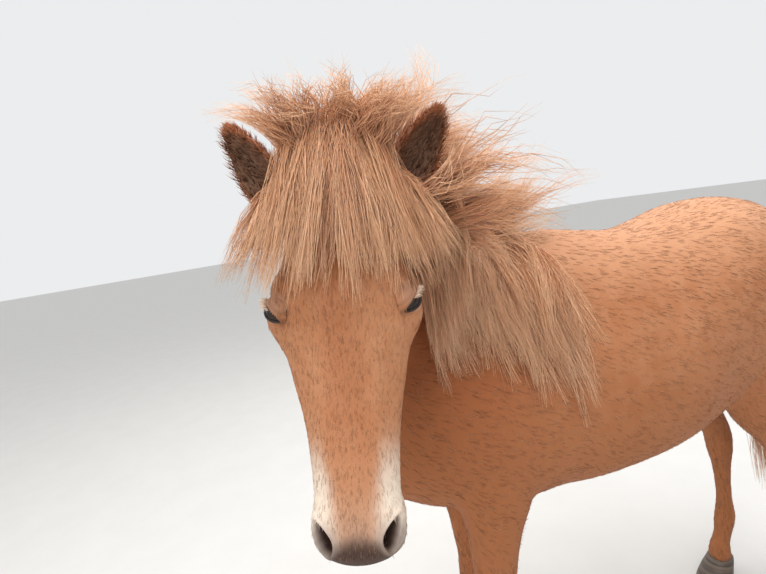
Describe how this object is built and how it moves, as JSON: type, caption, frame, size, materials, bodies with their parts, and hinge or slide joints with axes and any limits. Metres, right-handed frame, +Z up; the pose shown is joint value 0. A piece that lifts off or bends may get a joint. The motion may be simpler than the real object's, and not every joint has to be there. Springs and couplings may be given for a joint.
{
  "type": "icelandic horse",
  "caption": "Life-size standing model of a young chestnut Icelandic horse with a shaggy flaxen mane, its head turned to its left.",
  "frame": {"origin": "on the floor under the centre of the horse's bounding box", "axes": "+Z up; the body faces -Y and its left side is +X"},
  "size_m": [0.6258, 1.57, 1.6684],
  "materials": {
    "coat": "matte",
    "hair": "matte",
    "horn": "satin",
    "eye": "gloss"
  },
  "bodies": {
    "root": {"ear_left": "coat", "ear_right": "coat", "eye_left": "eye", "eye_right": "eye", "head": "coat", "hoof_front_left": "horn", "hoof_front_right": "horn", "hoof_hind_left": "horn", "hoof_hind_right": "horn", "leg_front_left": "coat", "leg_front_right": "coat", "leg_hind_left": "coat", "leg_hind_right": "coat", "neck": "coat", "tail": "hair", "torso": "coat"}
  },
  "joints": []
}
